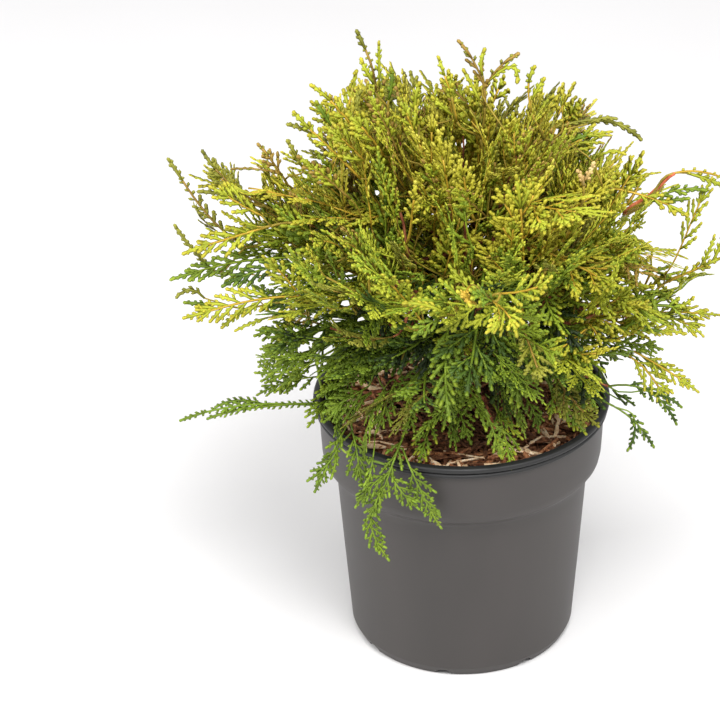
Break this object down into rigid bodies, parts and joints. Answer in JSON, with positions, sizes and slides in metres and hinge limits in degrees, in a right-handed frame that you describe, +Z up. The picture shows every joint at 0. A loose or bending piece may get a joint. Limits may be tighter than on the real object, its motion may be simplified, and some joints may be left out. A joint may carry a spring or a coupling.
{
  "type": "dwarf hinoki cypress in nursery pot",
  "caption": "Small bushy evergreen conifer with a rounded crown of flat scale-leaf sprays, growing in a round tapered nursery pot with bark mulch.",
  "frame": {"origin": "middle of the pot's flat underside", "axes": "+Z up along the pot's axis, +Y towards the back, +X to the right seen from the front"},
  "size_m": [0.3357, 0.2982, 0.396],
  "materials": {
    "pot": "moulded dark grey polypropylene, satin, with a faint vertical sheen",
    "potting_mix": "damp dark potting mix under shredded bark mulch",
    "bark": "red-brown stringy bark, salmon-red on young shoots",
    "foliage_gold": "golden yellow scale leaves on the outer tips",
    "foliage_lime": "yellow-green scale leaves of the upper crown",
    "foliage_green": "mid-green scale leaves",
    "foliage_dark": "deep green scale leaves of the lower and inner crown",
    "foliage_bronze": "bronze-brown tinted scale leaves"
  },
  "bodies": {
    "root": {"pot": "pot", "potting_mix": "potting_mix", "trunk": "bark", "bough_top_left": "bark", "bough_top_right": "bark", "bough_top_back": "bark", "bough_top_front": "bark", "bough_middle_left": "bark", "bough_middle_front_left": "bark", "bough_middle_front": "bark", "bough_middle_front_right": "bark", "bough_middle_right": "bark", "bough_middle_back_right": "bark", "bough_middle_back": "bark", "bough_middle_back_left": "bark", "bough_upper_left": "bark", "bough_upper_front_left": "bark", "bough_upper_front": "bark", "bough_upper_front_right": "bark", "bough_upper_right": "bark", "bough_upper_back_right": "bark", "bough_upper_back_left": "bark", "bough_lower_left": "bark", "bough_lower_front_left": "bark", "bough_lower_front": "bark", "bough_lower_right": "bark", "bough_lower_back_right": "bark", "bough_lower_back_left": "bark", "bough_arching_shoot": "bark", "foliage_top_left": "foliage_gold", "foliage_top_right": "foliage_gold", "foliage_top_back": "foliage_gold", "foliage_top_front": "foliage_gold", "foliage_upper_left": "foliage_lime", "foliage_upper_front_left": "foliage_lime", "foliage_upper_front": "foliage_lime", "foliage_upper_front_right": "foliage_lime", "foliage_upper_right": "foliage_lime", "foliage_upper_back_right": "foliage_lime", "foliage_upper_back_left": "foliage_lime", "foliage_middle_left": "foliage_green", "foliage_middle_front_left": "foliage_green", "foliage_middle_front": "foliage_green", "foliage_middle_front_right": "foliage_green", "foliage_middle_right": "foliage_green", "foliage_middle_back_right": "foliage_green", "foliage_middle_back": "foliage_green", "foliage_middle_back_left": "foliage_green", "foliage_lower_left": "foliage_dark", "foliage_lower_front_left": "foliage_dark", "foliage_lower_front": "foliage_dark", "foliage_lower_right": "foliage_dark", "foliage_lower_back_right": "foliage_dark", "foliage_lower_back_left": "foliage_dark", "foliage_low_left_spray": "foliage_dark", "foliage_hanging_spray": "foliage_dark", "foliage_arching_shoot": "foliage_bronze"}
  },
  "joints": []
}
